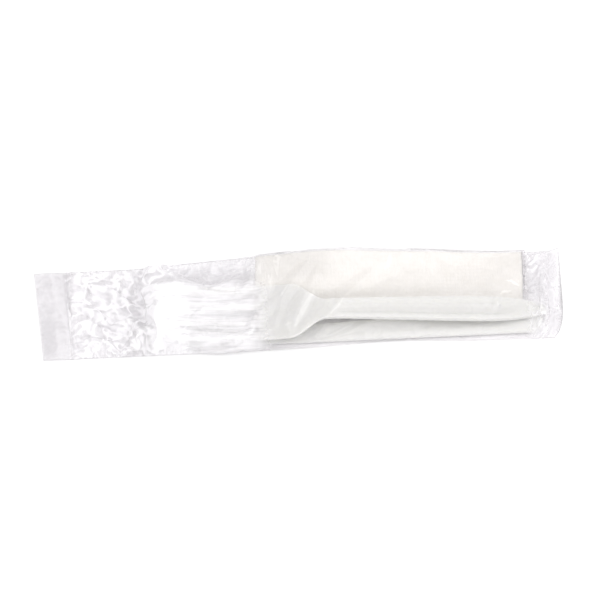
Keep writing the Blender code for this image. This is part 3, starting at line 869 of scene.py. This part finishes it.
def film_material():
    """Thin clear film, nearly clean where it is taut. Where it is crumpled it is milky, with painted white
    highlights along the creases and in winding ribbons, and real glints. Over the tines it has painted
    highlight streaks and painted light over the slots' shade, and painted shade beside them on the far side.
    """
    material, tree, output = new_material("clear_film")
    place = node(tree, "TexCoord").outputs["Object"]
    pressed = along_pack(tree, place, *SEAL_EDGE, 0.12, 1.0)
    crumpled = math_node(tree, "MULTIPLY", along_pack(tree, place, -0.062, -0.040, 1.0, 0.10), pressed)
    crumpled = math_node(tree, "ADD", crumpled, along_pack(tree, place, *RIGHT_CRUMPLE, 0.0, 0.35))
    wide = ridges(tree, place, 130.0, 2.4, 0.005)
    fine = ridges(tree, place, 260.0, 2.0, 0.002)
    creases = math_node(tree, "ADD", math_node(tree, "MULTIPLY", wide, 0.6),
                        math_node(tree, "MULTIPLY", fine, 0.4))
    soft = node(tree, "TexNoise", Scale=240.0, Detail=3.0, Roughness=0.5)
    tree.links.new(place, soft.inputs["Vector"])
    height = math_node(tree, "ADD", math_node(tree, "MULTIPLY", creases, crumpled), soft.outputs["Fac"])
    bump = node(tree, "Bump", Strength=0.4, Distance=0.0003)
    tree.links.new(height, bump.inputs["Height"])
    facing = node(tree, "LayerWeight", Blend=0.5)
    tree.links.new(bump.outputs["Normal"], facing.inputs["Normal"])
    grazing = math_node(tree, "POWER", facing.outputs["Facing"], 4.0)
    doubled = math_node(tree, "ADD", along_pack(tree, place, *SEAL_EDGE, 0.150, 0.062),
                        along_pack(tree, place, 0.091, 0.095, 0.0, 0.055))
    reflect = math_node(tree, "MULTIPLY_ADD", grazing, 0.55, doubled)
    # Painted shade: the film passes less light on the far side beside the tines and over the napkin's left end,
    # partly for light lost in the gathered film there and partly for the shade on those slopes.
    beside_tines = math_node(tree, "MULTIPLY", along_pack(tree, place, *OVER_TINES[0], 0.0, 1.0),
                             along_pack(tree, place, *BESIDE_TINES_END, 1.0, 0.0))
    beside_tines = math_node(tree, "MULTIPLY", beside_tines,
                             along_pack(tree, place, *TINES_FAR_Y, 0.0, 1.0, "Y"))
    # The pressed seal is darker for its two webs of film; beside the tines the film takes the painted shade.
    seal_and_painted_shade = math_node(tree, "ADD", beside_tines, along_pack(tree, place, *SEAL_EDGE, 0.65, 0.0))
    density = tree.nodes.new("ShaderNodeValToRGB")
    density.color_ramp.elements[0].color = CLEAR_FILM
    density.color_ramp.elements[1].color = SEAL_AND_SHADED_FILM
    tree.links.new(seal_and_painted_shade, density.inputs["Fac"])
    clear = node(tree, "BsdfTransparent")
    tree.links.new(density.outputs["Color"], clear.inputs["Color"])
    # One white shader serves the milky film and its painted highlights.
    haze_and_highlight = tree.nodes.new("ShaderNodeMixShader")
    haze_and_highlight.inputs[0].default_value = 0.15
    tree.links.new(node(tree, "BsdfDiffuse", Color=HAZE_AND_HIGHLIGHT_WHITE).outputs[0], haze_and_highlight.inputs[1])
    tree.links.new(node(tree, "BsdfTranslucent", Color=HAZE_AND_HIGHLIGHT_WHITE).outputs[0], haze_and_highlight.inputs[2])
    gloss = node(tree, "BsdfGlossy", Color=(1.0, 1.0, 1.0, 1.0), Roughness=0.14)
    tree.links.new(bump.outputs["Normal"], gloss.inputs["Normal"])
    # Painted highlights: white ribbons winding through the crumpled film and white lines along the crease
    # borders, in place of glints off the crease ridges, over an even milky whitening.
    swirl = node(tree, "TexNoise", Scale=175.0, Detail=0.8, Roughness=0.5, Distortion=0.7)
    tree.links.new(place, swirl.inputs["Vector"])
    aside = math_node(tree, "ABSOLUTE", math_node(tree, "SUBTRACT", swirl.outputs["Fac"], 0.5))
    edge = math_node(tree, "MINIMUM", math_node(tree, "MULTIPLY", aside, 5.5), 1.0)
    highlight_ribbon = math_node(tree, "SUBTRACT", 1.0, edge)
    white = math_node(tree, "MULTIPLY_ADD", creases, 0.30, 0.30)
    white = math_node(tree, "MULTIPLY_ADD", math_node(tree, "POWER", highlight_ribbon, 1.4), 0.6, white)
    white = math_node(tree, "MULTIPLY", white, crumpled)
    # Painted highlight streaks along the tines, and painted light over the shade in the slots between them, laid
    # on the milky whitening by place.
    over_tines = math_node(tree, "MULTIPLY", along_pack(tree, place, *OVER_TINES[0], 0.0, 1.0),
                           along_pack(tree, place, *OVER_TINES[1], 1.0, 0.0))
    streaks = node(tree, "Mapping")
    streaks.inputs["Scale"].default_value = (60.0, 700.0, 200.0)
    tree.links.new(place, streaks.inputs["Vector"])
    gathers = node(tree, "TexNoise", Scale=1.0, Detail=2.0, Distortion=0.6)
    tree.links.new(streaks.outputs["Vector"], gathers.inputs["Vector"])
    streak = math_node(tree, "MULTIPLY_ADD", gathers.outputs["Fac"], 0.8, 0.25)
    painted_tine_streaks = math_node(tree, "MULTIPLY", over_tines, streak)
    painted_tine_streaks = math_node(tree, "MULTIPLY", painted_tine_streaks, along_pack(tree, place, *TINES_FAR_Y, 1.0, 0.3, "Y"))
    white = math_node(tree, "ADD", white, painted_tine_streaks)
    # The film turns white by this share: milky, with painted highlights in the creases, the ribbons and the tine
    # streaks.
    milkiness_and_highlight_mix = tree.nodes.new("ShaderNodeMixShader")
    tree.links.new(math_node(tree, "ADD", white, 0.02), milkiness_and_highlight_mix.inputs[0])
    tree.links.new(clear.outputs[0], milkiness_and_highlight_mix.inputs[1])
    tree.links.new(haze_and_highlight.outputs[0], milkiness_and_highlight_mix.inputs[2])
    shine = tree.nodes.new("ShaderNodeMixShader")
    tree.links.new(reflect, shine.inputs[0])
    tree.links.new(milkiness_and_highlight_mix.outputs[0], shine.inputs[1])
    tree.links.new(gloss.outputs[0], shine.inputs[2])
    tree.links.new(shine.outputs[0], output.inputs["Surface"])
    return material


def plastic_material():
    """Off-white polystyrene that lets a little light through, with faint flow marks and a satin gloss."""
    material, tree, output = new_material("white_plastic")
    place = node(tree, "TexCoord").outputs["Object"]
    flow = node(tree, "TexNoise", Scale=90.0, Detail=3.0, Roughness=0.5)
    tree.links.new(place, flow.inputs["Vector"])
    ramp = tree.nodes.new("ShaderNodeValToRGB")
    ramp.color_ramp.elements[0].color = (0.70, 0.705, 0.675, 1.0)
    ramp.color_ramp.elements[1].color = (0.75, 0.755, 0.725, 1.0)
    tree.links.new(flow.outputs["Fac"], ramp.inputs["Fac"])
    grain = node(tree, "TexNoise", Scale=900.0, Detail=2.0)
    tree.links.new(place, grain.inputs["Vector"])
    bump = node(tree, "Bump", Strength=0.05, Distance=0.0002)
    tree.links.new(grain.outputs["Fac"], bump.inputs["Height"])
    shader = node(tree, "BsdfPrincipled", Roughness=0.42, IOR=1.5)
    shader.inputs["Subsurface Weight"].default_value = 0.6
    shader.inputs["Subsurface Radius"].default_value = (1.0, 1.0, 0.9)
    shader.inputs["Subsurface Scale"].default_value = 0.003
    tree.links.new(ramp.outputs["Color"], shader.inputs["Base Color"])
    tree.links.new(bump.outputs["Normal"], shader.inputs["Normal"])
    tree.links.new(shader.outputs[0], output.inputs["Surface"])
    return material


def paper_material():
    """Cream tissue: crepe lines across the strip, rows of small embossed dots and soft mottling."""
    material, tree, output = new_material("napkin_paper")
    place = node(tree, "TexCoord").outputs["Object"]
    mottle = node(tree, "TexNoise", Scale=260.0, Detail=5.0, Roughness=0.65)
    tree.links.new(place, mottle.inputs["Vector"])
    ramp = tree.nodes.new("ShaderNodeValToRGB")
    ramp.color_ramp.elements[0].position = 0.3
    ramp.color_ramp.elements[0].color = (0.80, 0.785, 0.735, 1.0)
    ramp.color_ramp.elements[1].position = 0.7
    ramp.color_ramp.elements[1].color = (0.865, 0.85, 0.805, 1.0)
    tree.links.new(mottle.outputs["Fac"], ramp.inputs["Fac"])
    stretch = node(tree, "Mapping")
    stretch.inputs["Scale"].default_value = (2600.0, 500.0, 500.0)
    tree.links.new(place, stretch.inputs["Vector"])
    crepe = node(tree, "TexNoise", Scale=1.0, Detail=2.0)
    tree.links.new(stretch.outputs["Vector"], crepe.inputs["Vector"])
    dots = node(tree, "TexVoronoi", Scale=620.0, Randomness=0.12)
    tree.links.new(place, dots.inputs["Vector"])
    dot = math_node(tree, "SMOOTH_MIN", dots.outputs["Distance"], 0.45)
    height = math_node(tree, "ADD", math_node(tree, "MULTIPLY", crepe.outputs["Fac"], 0.6), dot)
    bump = node(tree, "Bump", Strength=0.35, Distance=0.00025)
    tree.links.new(height, bump.inputs["Height"])
    shader = node(tree, "BsdfPrincipled", Roughness=0.95)
    shader.inputs["Specular IOR Level"].default_value = 0.15
    shader.inputs["Sheen Weight"].default_value = 0.15
    tree.links.new(ramp.outputs["Color"], shader.inputs["Base Color"])
    tree.links.new(bump.outputs["Normal"], shader.inputs["Normal"])
    tree.links.new(shader.outputs[0], output.inputs["Surface"])
    return material


def floor_material():
    material, tree, output = new_material("studio_floor")
    shader = node(tree, "BsdfPrincipled", Base_Color=(0.93, 0.93, 0.93, 1.0), Roughness=0.9)
    shader.inputs["Specular IOR Level"].default_value = 0.1
    tree.links.new(shader.outputs[0], output.inputs["Surface"])
    return material


# Studio

def make_floor():
    size = 6.0
    corners = [(-size, -size, 0), (size, -size, 0), (size, size, 0), (-size, size, 0)]
    floor = make_object("studio_floor", corners, [(0, 1, 2, 3)], smooth=False)
    floor.location.z = -0.00002
    floor.data.materials.append(floor_material())


def area_light(name, place, size, power, target=(0.0, 0.0, 0.0)):
    light = bpy.data.lights.new(name, "AREA")
    light.shape = "RECTANGLE"
    light.size, light.size_y = size
    light.energy = power
    lamp = bpy.data.objects.new(name, light)
    lamp.location = place
    lamp.rotation_euler = (Vector(target) - Vector(place)).to_track_quat("-Z", "Y").to_euler()
    bpy.context.collection.objects.link(lamp)


def make_studio():
    make_floor()
    area_light("overhead", (0.10, -0.05, 1.0), (1.3, 1.0), 6.0 * STUDIO_LEVEL)
    area_light("key", (1.2, 0.0, 0.75), (0.9, 1.2), 16.5 * STUDIO_LEVEL)
    area_light("front", (0.2, -1.2, 0.7), (1.6, 0.7), 9.5 * STUDIO_LEVEL)
    area_light("rim", (-0.9, 0.2, 0.8), (0.8, 0.6), 6.0 * STUDIO_LEVEL)
    world = bpy.data.worlds.new("studio")
    world.use_nodes = True
    tree = world.node_tree
    tree.nodes.clear()
    output = tree.nodes.new("ShaderNodeOutputWorld")
    background = node(tree, "Background", Color=(1.0, 0.985, 1.0, 1.0))
    background.inputs["Strength"].default_value = WORLD_LEVEL
    tree.links.new(background.outputs[0], output.inputs["Surface"])
    bpy.context.scene.world = world
    bpy.context.scene.view_settings.view_transform = "Standard"


def make_camera():
    right = Vector((math.cos(CAMERA_YAW), -math.sin(CAMERA_YAW), 0.0))
    forward = Vector((math.sin(CAMERA_YAW), math.cos(CAMERA_YAW), 0.0))
    target = right * FRAME_CENTRE[0] + forward * FRAME_CENTRE[1]
    distance = FRAME_WIDTH * CAMERA_LENS / SENSOR
    back = -forward * math.cos(CAMERA_ELEVATION) + Vector((0.0, 0.0, math.sin(CAMERA_ELEVATION)))
    data = bpy.data.cameras.new("camera")
    data.lens = CAMERA_LENS
    data.sensor_width = SENSOR
    camera = bpy.data.objects.new("camera", data)
    camera.location = target + back * distance
    camera.rotation_euler = (-back).to_track_quat("-Z", "Y").to_euler()
    bpy.context.collection.objects.link(camera)
    bpy.context.scene.camera = camera


def dress(piece, material, slot, *nodes):
    piece.data.materials.clear()
    piece.data.materials.append(material)
    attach(piece, "root")
    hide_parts(*nodes)


def main():
    make_camera()
    make_studio()
    plastic = plastic_material()
    fork, knife, napkin = make_fork(), make_knife(), make_napkin()
    film = make_film([fork, knife, napkin])
    dress(fork, plastic, "white_plastic", "fork")
    dress(knife, plastic, "white_plastic", "knife")
    dress(napkin, paper_material(), "napkin_paper", "napkin")
    dress(film, film_material(), "clear_film", "film_wrapper")


main()
